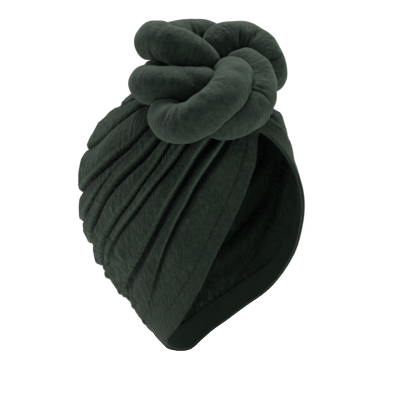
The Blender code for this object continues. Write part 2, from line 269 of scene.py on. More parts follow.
# Small creases that run along the folds: how many, depth, half width, half length in degrees
# around the cap, how far they stray between the two folds beside them, where they may start
# and go between those folds, and the raised bank on the rim side of each: its height as a share
# of the depth, and its distance in half widths
CREASES = 70
CREASE_SEED = 21
CREASE_DEPTH = (0.0005, 0.0017)
CREASE_WIDTH = (0.0010, 0.0022)
CREASE_RUN = (9.0, 34.0)
CREASE_STRAY = 0.25
CREASE_BETWEEN = (0.2, 0.8)
CREASE_LIMITS = (0.1, 0.9)
CREASE_BANK = 0.5
CREASE_BANK_AWAY = 2.2

# Painted highlight along the edge of each fold: how far above its valley it runs, and half its
# width. The painted shade in a valley fades out over EDGE_SHADE on the crown side and over
# UNDER_SHADE, a share of the rounding, on the rim side. SHADE_GAIN is how soon a shallow valley
# is as dark as a deep one, and SLACK_LIGHT how much lighter the valleys are where the cloth is
# slack.
EDGE_ABOVE = 0.0020
EDGE_WIDTH = 0.0014
EDGE_SHADE = 0.0010
UNDER_SHADE = 0.85
SHADE_GAIN = 1.6
SLACK_LIGHT = 0.5

# Stitches: two rows beside the stitch line, each stitch a short thick thread. STITCH_SAMPLES is
# how many points follow the line, and STITCH_LOOK how far above it, as a share of the way from
# the gather to the rim, the direction across the cloth is read.
STITCH_SAMPLES = 1441
STITCH_LOOK = 0.002
STITCH_PITCH = 0.0031
STITCH_LENGTH = 0.0020
STITCH_RADIUS = 0.00042
STITCH_ROWS = (-0.0012, 0.0012)
STITCH_SIDES = 6
STITCH_RINGS = (-1.0, -0.7, 0.0, 0.7, 1.0)
STITCH_GIRTHS = (0.35, 0.85, 1.0, 0.85, 0.35)

# Creases across the strands: place along the strand as a share of its length, angle around it
# and half spread around it in degrees, depth and half width in metres. A depth under zero is a
# bump.
Crease = namedtuple("Crease", "share angle spread depth width")
STRAND_CREASES = {
    "knot_front_strand": (
        Crease(0.467, 265, 22, 0.0011, 0.0014),
        Crease(0.547, 260, 16, -0.0009, 0.0030),
        Crease(0.575, 258, 18, 0.0012, 0.0013),
        Crease(0.680, 245, 20, 0.0012, 0.0013),
        Crease(0.707, 250, 26, 0.0024, 0.0012),
        Crease(0.773, 260, 24, 0.0012, 0.0013),
    ),
    "knot_top_strand": (
        Crease(0.284, 145, 26, 0.0012, 0.0016),
        Crease(0.295, 60, 30, 0.0014, 0.0016),
        Crease(0.621, 275, 30, 0.0028, 0.0014),
        Crease(0.642, 265, 26, 0.0024, 0.0013),
    ),
    "knot_left_strand": (
        Crease(0.136, 10, 20, 0.0012, 0.0013),
        Crease(0.182, 10, 24, 0.0014, 0.0013),
        Crease(0.341, 15, 34, 0.0046, 0.0014),
        Crease(0.400, 20, 22, 0.0024, 0.0012),
        Crease(0.455, 15, 26, 0.0040, 0.0013),
        Crease(0.490, 345, 24, 0.0026, 0.0012),
        Crease(0.727, 0, 34, 0.0038, 0.0013),
        Crease(0.773, 355, 26, 0.0026, 0.0012),
        Crease(0.818, 5, 30, 0.0040, 0.0014),
    ),
    "knot_lower_strand": (
        Crease(0.520, 275, 20, 0.0022, 0.0012),
        Crease(0.561, 250, 26, 0.0026, 0.0013),
        Crease(0.579, 285, 24, 0.0030, 0.0013),
        Crease(0.825, 200, 26, 0.0012, 0.0015),
    ),
    "knot_right_strand": (
        Crease(0.250, 125, 26, 0.0012, 0.0014),
        Crease(0.283, 200, 26, 0.0013, 0.0015),
    ),
}

# Faint creases scattered over every strand, and the stuffing's unevenness under the cloth
FAINT_CREASES = 30
FAINT_DEPTH = (0.0001, 0.0005)
FAINT_WIDTH = (0.0009, 0.0022)
FAINT_SPREAD = (12.0, 50.0)
STUFFING_HEIGHT = 0.00035
STUFFING_WAVES = 24
STUFFING_TURNS = (0, 5)
STUFFING_LENGTHS = (0.012, 0.045)

# Pale floor: how far under the cap, how wide and how light. The world's strength.
FLOOR_DROP = 0.06
FLOOR_SIZE = 8.0
FLOOR_LEVEL = 0.92
WORLD_STRENGTH = 1.06

# Soft lights: where each stands in the photograph's right, up and back directions, in metres
# from the middle of the head, how wide it is and its power in watts
Light = namedtuple("Light", "right up back width power")
LIGHTS = {
    "key": Light(-0.30, -1.10, 0.50, 0.5, 54.0),
    "side": Light(-1.3, 0.10, -0.35, 0.5, 28.0),
    "top": Light(0.0, 1.3, -0.25, 0.6, 80.0),
}

# Cloth colours, linear: of the cap's jersey, the hem, the thread and the knot's jersey
CAP_DARK = (0.0016, 0.0038, 0.0030, 1.0)
CAP_LIGHT = (0.0040, 0.0076, 0.0052, 1.0)
# Painted light: the cap is coloured lighter low at the back, where light from below falls
CAP_LOW_BACK_LIGHT = (0.0090, 0.0150, 0.0098, 1.0)
CAP_FUZZ = (0.0130, 0.0205, 0.0135, 1.0)
CAP_SCALES = (0.0210, 0.0320, 0.0205, 1.0)
# Painted highlight along the folds' edges
CAP_EDGE_HIGHLIGHT = (0.0260, 0.0390, 0.0270, 1.0)
CAP_SHADE = (0.0002, 0.0013, 0.0010, 1.0)
HEM_DARK = (0.0050, 0.0086, 0.0060, 1.0)
HEM_LIGHT = (0.0090, 0.0146, 0.0098, 1.0)
THREAD_DARK = (0.0008, 0.0014, 0.0012, 1.0)
THREAD_LIGHT = (0.0026, 0.0040, 0.0030, 1.0)
KNOT_DARK = (0.0010, 0.0030, 0.0024, 1.0)
KNOT_LIGHT = (0.0040, 0.0074, 0.0054, 1.0)
KNOT_NAP = (0.0120, 0.0192, 0.0132, 1.0)
KNOT_FIBRES = (0.0190, 0.0295, 0.0200, 1.0)
CAP_SHEEN = (0.55, 0.90, 0.60, 1.0)
HEM_SHEEN = (0.60, 0.90, 0.62, 1.0)
THREAD_SHEEN = (0.6, 0.9, 0.6, 1.0)
KNOT_SHEEN = (0.58, 0.92, 0.64, 1.0)
CLOTH_SPECULAR = 0.05

HEAD_MIDDLE = np.array([0.0, 0.0, CLOTH - CROWN_RISE])


def smooth_step(value):
    held = np.clip(value, 0.0, 1.0)
    return held * held * (3.0 - 2.0 * held)


def through(knots, values, where):
    """A smooth curve through values at knots, level at both ends, read at where."""
    knots = np.asarray(knots, float)
    values = np.asarray(values, float)
    slopes = np.zeros_like(values)
    slopes[1:-1] = (values[2:] - values[:-2]) / (knots[2:] - knots[:-2])
    where = np.asarray(where, float)
    spot = np.clip(np.searchsorted(knots, where, side="right") - 1, 0, len(knots) - 2)
    step = knots[spot + 1] - knots[spot]
    share = np.clip((where - knots[spot]) / step, 0.0, 1.0)
    bend_in = share * (1.0 - share) ** 2 * step
    bend_out = share**2 * (share - 1.0) * step
    mix = smooth_step(share)
    run = values[spot] * (1.0 - mix) + values[spot + 1] * mix
    return run + slopes[spot] * bend_in + slopes[spot + 1] * bend_out


def unit(vectors):
    return vectors / np.linalg.norm(vectors, axis=-1, keepdims=True)


def gather_frame():
    """Unit vectors from the middle of the head: to the gather, to the face and to the left."""
    tilt = np.radians(GATHER_TILT)
    gather = np.array([0.0, -np.sin(tilt), np.cos(tilt)])
    face = np.array([0.0, -np.cos(tilt), -np.sin(tilt)])
    return gather, face, np.array([1.0, 0.0, 0.0])


def rim_angle(turn):
    table = np.array(RIM, float)
    return through(table[:, 0], table[:, 1], turn)


def direction(turn, share):
    """Unit vector for a turn about the gather (degrees, signed to the left) and a share."""
    gather, face, left = gather_frame()
    angle = np.radians(rim_angle(np.abs(turn)) * share)[..., None]
    around = np.radians(turn)[..., None]
    away = face * np.cos(around) + left * np.sin(around)
    return gather * np.cos(angle) + away * np.sin(angle)


def turn_and_share(ray):
    """The turn and share of a unit vector: the inverse of direction."""
    gather, face, left = gather_frame()
    turn = np.degrees(np.arctan2(ray @ left, ray @ face))
    angle = np.degrees(np.arccos(np.clip(ray @ gather, -1.0, 1.0)))
    return turn, angle / rim_angle(np.abs(turn))


def base_radius(ray):
    """Distance from the middle of the head to the smooth cap surface along a unit vector."""
    along = np.where(ray[..., 1] > 0.0, BACK_REACH, FRONT_REACH)
    upright = np.where(ray[..., 2] > 0.0, CROWN_RISE, NAPE_REACH)
    sides = (ray[..., 0] / HALF_WIDTH) ** 2 + (ray[..., 1] / along) ** 2
    return 1.0 / np.sqrt(sides + (ray[..., 2] / upright) ** 2)


def run_to_rim(turn, share):
    """The way from the gather to the rim, and how much of it is left."""
    run = np.radians(rim_angle(turn)) * base_radius(direction(turn, share))
    return run, (1.0 - share) * run


def crest(turn, share):
    """Height of the folds' tops above the smooth cap surface."""
    _, to_rim = run_to_rim(np.abs(turn), share)
    return PUFF * smooth_step((to_rim - HEM_WIDTH) / PUFF_RISE)


def relief(turn, share):
    """Height of the gathered cloth above the smooth cap surface."""
    turn = np.abs(turn)
    run, to_rim = run_to_rim(turn, share)
    free = smooth_step((to_rim - HEM_WIDTH) / HEM_FADE)
    height = crest(turn, share)
    for valley in VALLEYS:
        away = (share - through(STATIONS, valley.places, turn)) * run
        width = np.where(away < 0.0, OVER_WIDTH, valley.under)
        beside = np.clip(np.abs(away) - valley.floor, 0.0, None)
        near = np.clip(1.0 - beside / width, 0.0, 1.0)
        depth = through(STATIONS, valley.depths, turn) * FOLD_DEPTH * free
        height = height - depth * (1.0 - np.sqrt(1.0 - near**2))
    return np.maximum(height, LOWEST_FOLD)


def cap_surface(turn, share, extra=0.0):
    """Points on the outside of the cap, raised by extra."""
    ray = direction(turn, share)
    radius = base_radius(ray) + relief(turn, share) + extra
    return HEAD_MIDDLE + ray * radius[..., None]


def hem_share(turn):
    """The share at which the hem's stitch line runs, one hem width above the rim."""
    run = np.radians(rim_angle(np.abs(turn))) * base_radius(direction(turn, np.ones_like(turn)))
    return 1.0 - HEM_WIDTH / run


def waves(seed, count, turns, across, turn, way):
    """A sum of cosine waves of about unit height, seamless around the cap."""
    random = np.random.default_rng(seed)
    height = np.zeros(np.broadcast(turn, way).shape)
    for _ in range(count):
        around = random.integers(turns[0], turns[1] + 1) * random.choice((-1, 1))
        length = random.uniform(*across)
        start = random.uniform(0.0, 2.0 * np.pi)
        height += np.cos(np.radians(turn) * around + 2.0 * np.pi * way / length + start)
    return height / np.sqrt(0.5 * count)


def small_creases(turn, shares):
    """Depth of short creases that follow the folds, each between two neighbouring valleys."""
    random = np.random.default_rng(CREASE_SEED)
    run, _ = run_to_rim(np.abs(turn), shares)
    depth = np.zeros_like(shares)
    lines = [through(STATIONS, valley.places, np.abs(turn)) for valley in VALLEYS]
    lines.append(hem_share(turn))
    for _ in range(CREASES):
        upper = random.integers(0, len(VALLEYS))
        across = random.uniform(*CREASE_BETWEEN)
        middle = random.uniform(-180.0, 180.0)
        length = random.uniform(*CREASE_RUN)
        width = random.uniform(*CREASE_WIDTH)
        stray = random.uniform(-CREASE_STRAY, CREASE_STRAY)
        turned = ((turn - middle + 180.0) % 360.0 - 180.0) / length
        mix = np.clip(across + stray * turned, *CREASE_LIMITS)
        place = lines[upper] * (1.0 - mix) + lines[upper + 1] * mix
        away = (shares - place) * run / width
        deep = random.uniform(*CREASE_DEPTH) * smooth_step(1.0 - np.abs(turned))
        bank = CREASE_BANK * np.exp(-((away - CREASE_BANK_AWAY) ** 2))
        depth += deep * (np.exp(-(away**2)) - bank)
    return depth


def fold_facts(turn, shares):
    """Painted highlight where the folds turn over, and painted shade in the valleys."""
    run, to_rim = run_to_rim(np.abs(turn), shares)
    edge_highlight = np.zeros_like(shares)
    shade = np.zeros_like(shares)
    for valley in VALLEYS:
        away = (shares - through(STATIONS, valley.places, np.abs(turn))) * run
        deep = np.clip(SHADE_GAIN * through(STATIONS, valley.depths, np.abs(turn)), 0.0, 1.0)
        beside = np.clip(np.abs(away) - valley.floor, 0.0, None)
        fade = np.where(away < 0.0, EDGE_SHADE, UNDER_SHADE * valley.under)
        shade = np.maximum(shade, deep * smooth_step(1.0 - beside / fade))
        # Painted highlight along the fold's edge, just above the valley on its crown side
        from_edge = (away + valley.floor + EDGE_ABOVE) / EDGE_WIDTH
        edge_highlight = np.maximum(edge_highlight, deep * np.exp(-(from_edge**2)))
    free = smooth_step((to_rim - HEM_WIDTH) / HEM_FADE)
    return edge_highlight * free, shade * free


def slackness(turn, shares):
    """1 where the cloth lies slack, low at the back, and 0 where the folds pull it tight."""
    around = (np.abs(turn) - LUMP_START_TURN) / (LUMP_FULL_TURN - LUMP_START_TURN)
    down = (shares - LUMP_START_SHARE) / (LUMP_FULL_SHARE - LUMP_START_SHARE)
    return smooth_step(around) * smooth_step(down)


def band_steps(count):
    """Steps across a fold, closer together at the valleys on both sides."""
    return 0.5 - 0.5 * np.cos(np.pi * np.arange(1, count + 1) / count)


def cap_rows(turn):
    """Shares from the gather to the rim, with rows along each valley and the stitch line."""
    run = np.radians(rim_angle(np.abs(turn))) * base_radius(direction(turn, np.ones_like(turn)))
    high = np.full_like(turn, GATHER_SHARE)
    rows = [high]
    for valley in VALLEYS:
        place = through(STATIONS, valley.places, np.abs(turn))
        half = max(valley.floor, LEAST_FLOOR) / run
        rows += [high + (place - half - high) * step for step in band_steps(BAND_ROWS)]
        steps = np.arange(1, FLOOR_ROWS + 1) / FLOOR_ROWS
        rows += [place - half + 2.0 * half * step for step in steps]
        high = rows[-1]
    stitch = hem_share(turn)
    rows += [high + (stitch - high) * step for step in band_steps(BAND_ROWS)]
    for step in np.arange(1, RIM_ROWS + 1) / RIM_ROWS:
        rows.append(stitch + (1.0 - stitch) * step)
    return np.stack(rows)


def around_cap():
    return np.arange(COLUMNS) * 360.0 / COLUMNS - 180.0


def grid_faces(rows, columns, first=0):
    """Quads between neighbouring rows of a grid that closes on itself around the columns."""
    row, column = np.meshgrid(np.arange(rows - 1), np.arange(columns), indexing="ij")
    low = first + row * columns + column
    low_after = first + row * columns + (column + 1) % columns
    return np.stack([low, low + columns, low_after + columns, low_after], axis=-1).reshape(-1, 4)


def grid_uvs(along, across):
    """Corner coordinates for grid_faces: along has one more column than the grid."""
    corners = []
    for row_step, column_step in ((0, 0), (1, 0), (1, 1), (0, 1)):
        rows = slice(row_step, along.shape[0] - 1 + row_step)
        columns = slice(column_step, along.shape[1] - 1 + column_step)
        corners.append(np.stack([along[rows, columns], across[rows, columns]], axis=-1))
    return np.stack(corners, axis=2).reshape(-1, 2)


def vertex_normals(points, faces):
    """Unit normals of an open surface, one for each point, from its faces."""
    mesh = bpy.data.meshes.new("measure")
    mesh.from_pydata(points.tolist(), [], [tuple(face) for face in faces])
    normals = np.empty(len(points) * 3, np.float32)
    mesh.vertex_normals.foreach_get("vector", normals)
    bpy.data.meshes.remove(mesh)
    return normals.reshape(-1, 3).astype(float)


def add_object(name, points, faces, uvs, material, facts=()):
    """A smooth-shaded mesh object with cloth coordinates in metres and facts on its points."""
    mesh = bpy.data.meshes.new(name)
    mesh.from_pydata(np.asarray(points).tolist(), [], [tuple(map(int, face)) for face in faces])
    layer = mesh.uv_layers.new(name="cloth")
    layer.data.foreach_set("uv", np.asarray(uvs, np.float32).ravel())
    for fact, values in dict(facts).items():
        attribute = mesh.attributes.new(fact, "FLOAT", "POINT")
        attribute.data.foreach_set("value", np.asarray(values, np.float32))
    mesh.validate()
    mesh.shade_smooth()
    mesh.set_sharp_from_angle(angle=np.radians(SHARP_ANGLE))
    mesh.materials.append(material)
    item = bpy.data.objects.new(name, mesh)
    bpy.context.scene.collection.objects.link(item)
    return item


def face_outwards(item):
    work = bmesh.new()
    work.from_mesh(item.data)
    bmesh.ops.recalc_face_normals(work, faces=work.faces)
    work.to_mesh(item.data)
    work.free()


def cap_grid():
    """The cap's outside: turns, the way across the folds, points and the materials' facts."""
    turn = around_cap()
    shares = cap_rows(turn)
    plain = np.stack([cap_surface(turn, share) for share in shares])
    steps = np.linalg.norm(np.diff(plain, axis=0), axis=-1)
    way = np.concatenate([np.zeros((1, COLUMNS)), np.cumsum(steps, axis=0)])
    to_rim = way[-1] - way
    free = smooth_step((to_rim - HEM_WIDTH) / HEM_FADE)
    fine = waves(WRINKLE_SEED, WRINKLE_WAVES, WRINKLE_TURNS, WRINKLE_ACROSS, turn, way)
    sway = waves(SWAY_SEED, SWAY_WAVES, SWAY_TURNS, SWAY_ACROSS, turn, way)
    lumps = waves(LUMP_SEED, LUMP_WAVES, LUMP_TURNS, LUMP_ACROSS, turn, way)
    at_back = smooth_step((np.abs(turn) - WRINKLE_START_TURN) / WRINKLE_SPREAD)
    slack = slackness(turn, shares)
    extra = free * (fine * WRINKLE_HEIGHT * at_back + sway * SWAY_HEIGHT)
    extra += free * (lumps * slack * LUMP_HEIGHT - small_creases(turn, shares))
    extra -= STITCH_GROOVE * np.exp(-(((to_rim - HEM_WIDTH) / STITCH_GROOVE_WIDTH) ** 2))
    points = np.stack([cap_surface(turn, share, more) for share, more in zip(shares, extra)])
    # Painted highlight on the folds' edges and painted shade in the valleys, as facts for the
    # material
    edge_highlight, shade = fold_facts(turn, shares)
    shade = shade * (1.0 - SLACK_LIGHT * slack)
    return turn, way, points, {"edge_highlight": edge_highlight, "shade": shade, "slack": slack}


def make_cap(material):
    turn, way, points, facts = cap_grid()
    rows = len(points)
    flat_points = points.reshape(-1, 3)
    faces = grid_faces(rows, COLUMNS)
    normals = vertex_normals(flat_points, faces)
    if (normals[0] @ (flat_points[0] - HEAD_MIDDLE)) < 0.0:
        normals = -normals
    inside = flat_points - normals * CLOTH
    rim_middle = 0.5 * (flat_points + inside)[-COLUMNS:]
    rim_way = unit(points[-1] - points[-2])
    rim_bulge = rim_middle + rim_way * 0.5 * CLOTH
    kept = np.append(np.arange(0, rows - 1, 2), rows - 1)
    inside = inside.reshape(rows, COLUMNS, 3)[kept].reshape(-1, 3)
    count = len(flat_points)
    inner = count + len(inside)
    last = np.arange(COLUMNS) + count - COLUMNS
    bulge = np.arange(COLUMNS) + inner
    back = np.arange(COLUMNS) + inner - COLUMNS
    after = np.roll(np.arange(COLUMNS), -1)
    edge = [(last[n], bulge[n], bulge[m], last[m]) for n, m in enumerate(after)]
    edge += [(bulge[n], back[n], back[m], bulge[m]) for n, m in enumerate(after)]
    caps = [tuple(range(COLUMNS)), tuple(count + n for n in reversed(range(COLUMNS)))]
    along = np.radians(np.append(turn, 180.0)) * 0.5 * (FRONT_REACH + BACK_REACH)
    along = np.broadcast_to(along, (rows, COLUMNS + 1))
    across = np.concatenate([way, way[:, :1]], axis=1)
    inner_uvs = grid_uvs(along[kept], across[kept]).reshape(-1, 4, 2)[:, ::-1].reshape(-1, 2)
    all_faces = [tuple(face) for face in faces]
    all_faces += [tuple(face) for face in grid_faces(len(kept), COLUMNS, count)[:, ::-1]]
    all_faces += edge + caps
    all_uvs = [grid_uvs(along, across), inner_uvs]
    all_uvs.append(np.zeros((4 * len(edge) + 2 * COLUMNS, 2)))
    for name, values in facts.items():
        facts[name] = np.concatenate([values.ravel(), values[kept].ravel(), values[-1]])
    all_points = np.concatenate([flat_points, inside, rim_bulge])
    cap = add_object("cap_cloth", all_points, all_faces, np.concatenate(all_uvs), material, facts)
    face_outwards(cap)
    return cap


def make_hem(material):
    """The edge of the cloth turned to the inside, along the whole rim."""
    turn = around_cap()
    stitch = hem_share(turn)
    rows = []
    for step in np.linspace(*HEM_RUN, RIM_ROWS):
        rows.append(cap_surface(turn, stitch + (1.0 - stitch) * step))
    points = np.stack(rows)
    faces = grid_faces(RIM_ROWS, COLUMNS)
    flat_points = points.reshape(-1, 3)
    normals = vertex_normals(flat_points, faces)
    if (normals[0] @ (flat_points[0] - HEAD_MIDDLE)) < 0.0:
        normals = -normals
    outside = flat_points - normals * (CLOTH + CLEARANCE)
    inside = outside - normals * HEM_CLOTH
    count = len(flat_points)
    first = np.arange(COLUMNS)
    last = first + count - COLUMNS
    after = np.roll(first, -1)
    edge = [(first[n], first[n] + count, first[m] + count, first[m]) for n, m in enumerate(after)]
    edge += [(last[n], last[m], last[m] + count, last[n] + count) for n, m in enumerate(after)]
    way = np.linspace(0.0, HEM_WIDTH, RIM_ROWS)[:, None] + np.zeros((1, COLUMNS + 1))
    along = np.radians(np.append(turn, 180.0)) * 0.5 * (FRONT_REACH + BACK_REACH)
    sheet_uvs = grid_uvs(np.broadcast_to(along, way.shape), way)
    all_faces = [tuple(face) for face in faces]
    all_faces += [tuple(face) for face in (faces + count)[:, ::-1]]
    all_faces += edge
    all_uvs = [sheet_uvs, sheet_uvs.reshape(-1, 4, 2)[:, ::-1].reshape(-1, 2)]
    all_uvs.append(np.zeros((4 * len(edge), 2)))
    all_points = np.concatenate([outside, inside])
    hem = add_object("rim_hem_cloth", all_points, all_faces, np.concatenate(all_uvs), material)
    face_outwards(hem)
    return hem


def make_stitches(material):
    """Two rows of short stitches that hold the hem, joined into one mesh."""
    turn = np.linspace(-180.0, 180.0, STITCH_SAMPLES)
    run = np.radians(rim_angle(np.abs(turn))) * base_radius(direction(turn, np.ones_like(turn)))
    points = []
    faces = []
    angles = np.arange(STITCH_SIDES) * 2.0 * np.pi / STITCH_SIDES
    for row in STITCH_ROWS:
        share = hem_share(turn) + row / run
        line = cap_surface(turn, share, -STITCH_GROOVE + 0.5 * STITCH_RADIUS)
        above = cap_surface(turn, share - STITCH_LOOK)
        way = np.concatenate([[0.0], np.cumsum(np.linalg.norm(np.diff(line, axis=0), axis=1))])
        for middle in np.arange(0.5 * STITCH_PITCH, way[-1], STITCH_PITCH):
            ends = [middle - 0.5 * STITCH_LENGTH, middle + 0.5 * STITCH_LENGTH]
            place = [[np.interp(end, way, line[:, axis]) for axis in range(3)] for end in ends]
            low, high = np.array(place)
            side = np.array([np.interp(middle, way, above[:, axis]) for axis in range(3)])
            side = unit(side - 0.5 * (low + high))
            out = unit(np.cross(high - low, side))
            first = len(points)
            for ring, girth in zip(STITCH_RINGS, STITCH_GIRTHS):
                centre = 0.5 * (low + high) + 0.5 * ring * (high - low)
                for angle in angles:
                    spoke = side * np.cos(angle) + out * np.sin(angle)
                    points.append(centre + spoke * STITCH_RADIUS * girth)
            rings = len(STITCH_RINGS)
            faces += [tuple(face) for face in grid_faces(rings, STITCH_SIDES, first)]
            faces.append(tuple(first + n for n in range(STITCH_SIDES)))
            end = first + (rings - 1) * STITCH_SIDES
            faces.append(tuple(end + n for n in reversed(range(STITCH_SIDES))))
    corners = sum(len(face) for face in faces)
    stitches = add_object("hem_stitches", points, faces, np.zeros((corners, 2)), material)
    face_outwards(stitches)
    return stitches


def knot_frame():
    """The knot's middle, and its unit vectors to the left, to the back and outwards."""
    tilt = np.radians(KNOT_TILT)
    turn = np.radians(KNOT_TURN)
    level = np.array([-np.sin(turn), -np.cos(turn), 0.0])
    outwards = level * np.cos(tilt) + np.array([0.0, 0.0, np.sin(tilt)])
    left = np.array([np.cos(turn), -np.sin(turn), 0.0])
    middle = HEAD_MIDDLE + np.array([KNOT_SIDE, -KNOT_FORWARD, KNOT_RISE])
    return middle, left, np.cross(outwards, left), outwards


def middle_line(passes):
    """A smooth line through a strand's points, with even steps along it."""
    middle, left, back, outwards = knot_frame()
    corners = []
    for place in passes:
        turn = np.radians(place.turn)
        reach = place.reach * KNOT_RADIUS
        flat = (left * np.cos(turn) + back * np.sin(turn)) * reach
        corners.append(middle + flat + outwards * place.lift * STRAND_DIAMETER)
    return even_steps(fine_curve(np.array(corners), LINE_POINTS), SETTLE_STEP)


def fine_curve(corners, steps):
    knots = np.arange(len(corners))
    fine = np.linspace(0.0, len(corners) - 1.0, steps * len(corners))
    return np.stack([through(knots, corners[:, axis], fine) for axis in range(3)], axis=1)


def even_steps(curve, step):
    run = np.concatenate([[0.0], np.cumsum(np.linalg.norm(np.diff(curve, axis=0), axis=1))])
    marks = np.linspace(0.0, run[-1], max(int(round(run[-1] / step)), 3) + 1)
    return np.stack([np.interp(marks, run, curve[:, axis]) for axis in range(3)], axis=1)


def cap_outside(points):
    """For points anywhere: the ray from the middle of the head, and the folds' tops there."""
    away = points - HEAD_MIDDLE
    distance = np.linalg.norm(away, axis=-1)
    ray = away / distance[..., None]
    turn, share = turn_and_share(ray)
    share = np.clip(share, 0.0, 1.0)
    return ray, distance, base_radius(ray) + crest(turn, share)


def settle(lines, girths):
    """Pushes strands apart until they only press on each other, and off the cap."""
    owner = np.concatenate([np.full(len(line), index) for index, line in enumerate(lines)])
    order = np.concatenate([np.arange(len(line)) for line in lines])
    points = np.concatenate(lines)
    start = points.copy()
    radii = np.concatenate([strand_radius(*pair) for pair in zip(lines, girths)])
    apart = STRAND_SQUEEZE * (radii[:, None] + radii[None])
    far_along = np.abs(order[:, None] - order[None]) * SETTLE_STEP > OWN_RUN * STRAND_DIAMETER
    other = (owner[:, None] != owner[None]) | far_along
    for _ in range(SETTLE_ROUNDS):
        gaps = points[:, None] - points[None]
        distance = np.linalg.norm(gaps, axis=-1) + 1e-9
        short = np.where(other, np.clip(apart - distance, 0.0, None), 0.0)
        push = (gaps / distance[..., None] * short[..., None]).sum(axis=1)
        count = np.maximum((short > 0.0).sum(axis=1), 1)[:, None]
        points = points + SETTLE_PUSH * push / count + SETTLE_PULL * (start - points)
        ray, from_middle, radius = cap_outside(points)
        seat = radius + radii * STRAND_SQUEEZE
        points = points + ray * np.clip(seat - from_middle, 0.0, None)[:, None]
        points = smooth_lines(points, owner)
    return [points[owner == index] for index in range(len(lines))]


def smooth_lines(points, owner):
    """Evens out each strand's line a little, with its ends held."""
    eased = points.copy()
    inner = (owner[1:-1] == owner[:-2]) & (owner[1:-1] == owner[2:])
    between = 0.5 * (points[:-2] + points[2:])
    eased[1:-1][inner] += LINE_EASE * (between - points[1:-1])[inner]
    return eased


def ring_axes(line):
    """Two unit vectors across the line at each of its points, carried along without twist."""
    along = unit(np.gradient(line, axis=0))
    across = np.cross(along[0], [0.0, 0.0, 1.0])
    sides = []
    for heading in along:
        across = unit(across - heading * (across @ heading))
        sides.append(across)
    sides = np.array(sides)
    return sides, np.cross(along, sides)


def line_run(line):
    return np.concatenate([[0.0], np.cumsum(np.linalg.norm(np.diff(line, axis=0), axis=1))])


def strand_radius(line, girth):
    """Full along the strand, rounded off at both ends like a stuffed tube."""
    run = line_run(line)
    to_end = np.minimum(run, run[-1] - run)
    full = 0.5 * STRAND_DIAMETER * girth
    short = np.clip(1.0 - to_end / full, 0.0, END_ROUNDING)
    return full * np.sqrt(1.0 - short**2)


def dense_line(line, radius):
    """More points along a strand's middle line, each with the strand's radius there."""
    marks = np.arange(len(line))
    fine = np.linspace(0.0, len(line) - 1.0, RING_POINTS * len(line))
    columns = [np.interp(fine, marks, line[:, axis]) for axis in range(3)]
    return np.stack(columns, axis=1), np.interp(fine, marks, radius)


def closeness(points, strand):
    """Distance to a strand's middle line as a share of the strand's radius there."""
    line, radius = strand
    squares = (points**2).sum(axis=1)[:, None] + (line**2).sum(axis=1)[None]
    squares -= 2.0 * points @ line.T
    nearest = squares.argmin(axis=1)
    distance = np.linalg.norm(points - line[nearest], axis=1)
    return (distance - 0.5 * STRAND_GAP) / radius[nearest], radius[nearest]


def press(points, centre, own, others):
    """Flattens a tube's points against the tubes beside it and against the cap."""
    reach = points - centre
    for other in others:
        low = np.zeros(len(points))
        high = np.ones(len(points))
        for _ in range(PRESS_ROUNDS):
            tested = centre + reach * high[:, None]
            near_own, radius = closeness(tested, own)
            near_own = near_own + STRAND_GAP / radius
            clear = near_own <= closeness(tested, other)[0]
            step = 0.5 * (high - low)
            low = np.where(clear, high, low)
            high = np.where(clear, np.minimum(high + step, 1.0), high - step)
        reach = reach * np.maximum(low, LEAST_PRESS)[:, None]
    points = centre + reach
    ray, distance, radius = cap_outside(points)
    return points + ray * np.clip(radius + SEAT_GAP - distance, 0.0, None)[:, None]


def strand_dents(name, seed, run, angles):
    """How far the cloth dips between the stuffing's lumps and in the creases of a strand."""
    random = np.random.default_rng(seed)
    creases = list(STRAND_CREASES[name])
    for _ in range(FAINT_CREASES):
        ranges = (FAINT_SPREAD, FAINT_DEPTH, FAINT_WIDTH)
        drawn = [random.uniform(*limits) for limits in ranges]
        creases.append(Crease(random.uniform(0.05, 0.95), random.uniform(0.0, 360.0), *drawn))
    around = np.degrees(angles)[None, :]
    along = run[:, None]
    lumps = waves(seed, STUFFING_WAVES, STUFFING_TURNS, STUFFING_LENGTHS, around, along)
    dents = STUFFING_HEIGHT * lumps
    for crease in creases:
        away = (along - crease.share * run[-1]) / crease.width
        turned = ((around - crease.angle + 180.0) % 360.0 - 180.0) / crease.spread
        dents = dents + crease.depth * np.exp(-(away**2) - turned**2)
    return dents


def make_strands(material):
    names = list(STRANDS)
    girths = [GIRTHS.get(name, 1.0) for name in names]
    coarse = settle([middle_line(STRANDS[name]) for name in names], girths)
    lines = [even_steps(fine_curve(line, LINE_POINTS), RING_STEP) for line in coarse]
    radii = [strand_radius(*pair) for pair in zip(lines, girths)]
    dense = [dense_line(line, radius) for line, radius in zip(lines, radii)]
    angles = np.arange(RING_SIDES) * 2.0 * np.pi / RING_SIDES
    made = []
    for index, name in enumerate(names):
        line = lines[index]
        side, up = ring_axes(line)
        ring = side[:, None] * np.cos(angles)[None, :, None]
        ring = ring + up[:, None] * np.sin(angles)[None, :, None]
        reach = radii[index][:, None] - strand_dents(name, index, line_run(line), angles)
        points = (line[:, None] + ring * np.maximum(reach, 0.0)[..., None]).reshape(-1, 3)
        centre = np.repeat(line, RING_SIDES, axis=0)
        others = [dense[n] for n in range(len(names)) if n != index]
        points = press(points, centre, dense[index], others)
        faces = [tuple(face) for face in grid_faces(len(line), RING_SIDES)]
        faces.append(tuple(range(RING_SIDES)))
        last = len(points) - RING_SIDES
        faces.append(tuple(last + corner for corner in reversed(range(RING_SIDES))))
        along = np.broadcast_to(line_run(line)[:, None], (len(line), RING_SIDES + 1))
        around = np.append(angles, 2.0 * np.pi) * 0.5 * STRAND_DIAMETER
        around = np.broadcast_to(around, (len(line), RING_SIDES + 1))
        uvs = np.concatenate([grid_uvs(along, around), np.zeros((2 * RING_SIDES, 2))])
        strand = add_object(name + "_cloth", points, faces, uvs, material)
        face_outwards(strand)
        made.append((strand, name))
    return made


